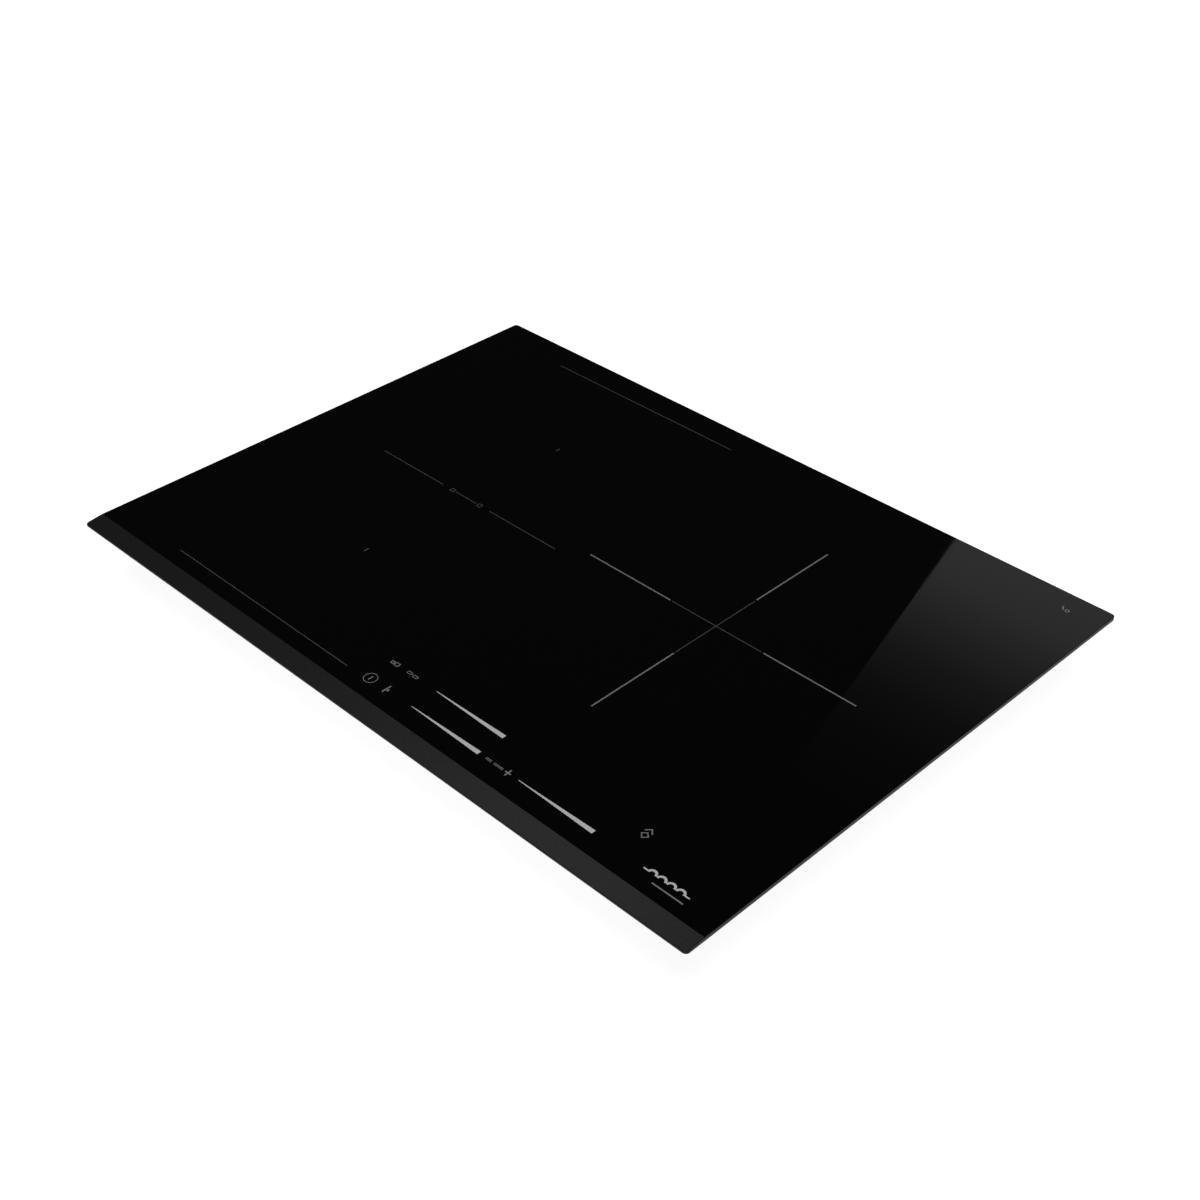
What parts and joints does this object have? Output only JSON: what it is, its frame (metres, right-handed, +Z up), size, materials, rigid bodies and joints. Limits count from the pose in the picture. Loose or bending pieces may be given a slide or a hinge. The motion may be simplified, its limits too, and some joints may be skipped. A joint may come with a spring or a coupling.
{
  "type": "induction cooktop",
  "caption": "Built-in electric induction cooktop: black bevelled glass top over a steel tray with spring-loaded coils, power boards, fans, touch control, mains inlet and swing clamps.",
  "frame": {"origin": "middle of the plane where the seal rests on the worktop, below the middle of the glass", "axes": "+X to the cook's right, +Y to the back of the worktop, +Z up; the bevelled front edge faces -Y"},
  "size_m": [0.7, 0.51, 0.0535],
  "materials": {
    "black_glass": "polished black ceramic glass, opaque",
    "seal_foam": "closed-cell foam tape",
    "silicone": "black silicone bead",
    "galvanised_steel": "galvanised sheet steel, spangled",
    "aluminium_sheet": "mill-finish aluminium sheet",
    "zinc_screw": "zinc-plated steel",
    "clamp_steel": "zinc-plated pressed steel",
    "spring_steel": "spring steel",
    "circuit_board": "green solder mask",
    "nylon": "natural nylon",
    "extruded_aluminium": "extruded aluminium",
    "black_epoxy": "moulded epoxy",
    "capacitor_case": "moulded capacitor case",
    "copper_winding": "enamelled copper wire",
    "black_plastic": "moulded black plastic",
    "white_plastic": "moulded heat-resistant plastic",
    "light_guide": "clear moulded light guide",
    "wire_sleeve": "silicone-sleeved wire",
    "ferrite": "sintered ferrite",
    "mica": "pressed mica sheet",
    "sensor_ceramic": "ceramic sensor cap"
  },
  "bodies": {
    "cooktop": {"base_screws": "zinc_screw", "base_tray": "galvanised_steel", "board_spacers": "nylon", "cable_clamp": "nylon", "carrier_springs_left_front": "spring_steel", "carrier_springs_left_rear": "spring_steel", "carrier_springs_right": "spring_steel", "centring_springs": "spring_steel", "chokes": "copper_winding", "clamp_screws": "zinc_screw", "coil_leads_left_front": "wire_sleeve", "coil_leads_left_rear": "wire_sleeve", "coil_leads_right": "wire_sleeve", "coil_plate_left": "aluminium_sheet", "coil_plate_right": "aluminium_sheet", "control_board": "circuit_board", "control_bracket": "white_plastic", "fan_housing_left": "black_plastic", "fan_housing_right": "black_plastic", "film_capacitors": "capacitor_case", "filter_board": "circuit_board", "glass_adhesive": "silicone", "glass_top": "black_glass", "heat_sink_left": "extruded_aluminium", "heat_sink_right": "extruded_aluminium", "inlet_screws": "zinc_screw", "inner_screws": "zinc_screw", "inner_wiring": "wire_sleeve", "light_guides": "light_guide", "power_board_left": "circuit_board", "power_board_right": "circuit_board", "power_transistors": "black_epoxy", "terminal_block": "nylon", "terminal_housing": "black_plastic", "top_frame": "galvanised_steel", "touch_springs": "spring_steel", "worktop_seal": "seal_foam"},
    "coil_left_front": {"carrier_left_front": "white_plastic", "winding_left_front": "copper_winding", "ferrites_left_front": "ferrite", "insulation_left_front": "mica", "temperature_sensor_left_front": "sensor_ceramic"},
    "coil_left_rear": {"carrier_left_rear": "white_plastic", "winding_left_rear": "copper_winding", "ferrites_left_rear": "ferrite", "insulation_left_rear": "mica", "temperature_sensor_left_rear": "sensor_ceramic"},
    "coil_right": {"carrier_right": "white_plastic", "winding_right_outer": "copper_winding", "winding_right_inner": "copper_winding", "ferrites_right": "ferrite", "insulation_right": "mica", "temperature_sensor_right": "sensor_ceramic"},
    "rotor_left": {"fan_rotor_left": "black_plastic"},
    "rotor_right": {"fan_rotor_right": "black_plastic"},
    "inlet_door": {"terminal_cover": "black_plastic"},
    "clamp_front_left": {"swing_clamp_front_left": "clamp_steel"},
    "clamp_front_right": {"swing_clamp_front_right": "clamp_steel"},
    "clamp_rear_left": {"swing_clamp_rear_left": "clamp_steel"},
    "clamp_rear_right": {"swing_clamp_rear_right": "clamp_steel"}
  },
  "joints": [
    {"name": "coil_left_front_press", "type": "slide", "parent": "cooktop", "child": "coil_left_front", "axis": [0, 0, 1], "range_m": [-0.003, 0], "stiffness_N_per_m": 3000, "springref_m": 0.006, "deforming": ["carrier_springs_left_front", "coil_leads_left_front"]},
    {"name": "coil_left_rear_press", "type": "slide", "parent": "cooktop", "child": "coil_left_rear", "axis": [0, 0, 1], "range_m": [-0.003, 0], "stiffness_N_per_m": 3000, "springref_m": 0.006, "deforming": ["carrier_springs_left_rear", "coil_leads_left_rear"]},
    {"name": "coil_right_press", "type": "slide", "parent": "cooktop", "child": "coil_right", "axis": [0, 0, 1], "range_m": [-0.003, 0], "stiffness_N_per_m": 3000, "springref_m": 0.006, "deforming": ["carrier_springs_right", "coil_leads_right"]},
    {"name": "fan_left_spin", "type": "hinge", "parent": "cooktop", "child": "rotor_left", "pos_m": [-0.215, 0.165, -0.04], "axis": [0, 0, 1], "continuous": true},
    {"name": "fan_right_spin", "type": "hinge", "parent": "cooktop", "child": "rotor_right", "pos_m": [0.06, 0.165, -0.04], "axis": [0, 0, 1], "continuous": true},
    {"name": "terminal_cover_hinge", "type": "hinge", "parent": "cooktop", "child": "inlet_door", "pos_m": [0.187, 0.2313, -0.045], "axis": [-1, 0, 0], "range_deg": [0, 90]},
    {"name": "clamp_front_left_swing", "type": "hinge", "parent": "cooktop", "child": "clamp_front_left", "pos_m": [-0.2718, -0.15, -0.041], "axis": [0, 0, 1], "range_deg": [0, 90]},
    {"name": "clamp_front_right_swing", "type": "hinge", "parent": "cooktop", "child": "clamp_front_right", "pos_m": [0.2718, -0.15, -0.041], "axis": [0, 0, -1], "range_deg": [0, 90]},
    {"name": "clamp_rear_left_swing", "type": "hinge", "parent": "cooktop", "child": "clamp_rear_left", "pos_m": [-0.2718, 0.15, -0.041], "axis": [0, 0, -1], "range_deg": [0, 90]},
    {"name": "clamp_rear_right_swing", "type": "hinge", "parent": "cooktop", "child": "clamp_rear_right", "pos_m": [0.2718, 0.15, -0.041], "axis": [0, 0, 1], "range_deg": [0, 90]}
  ]
}
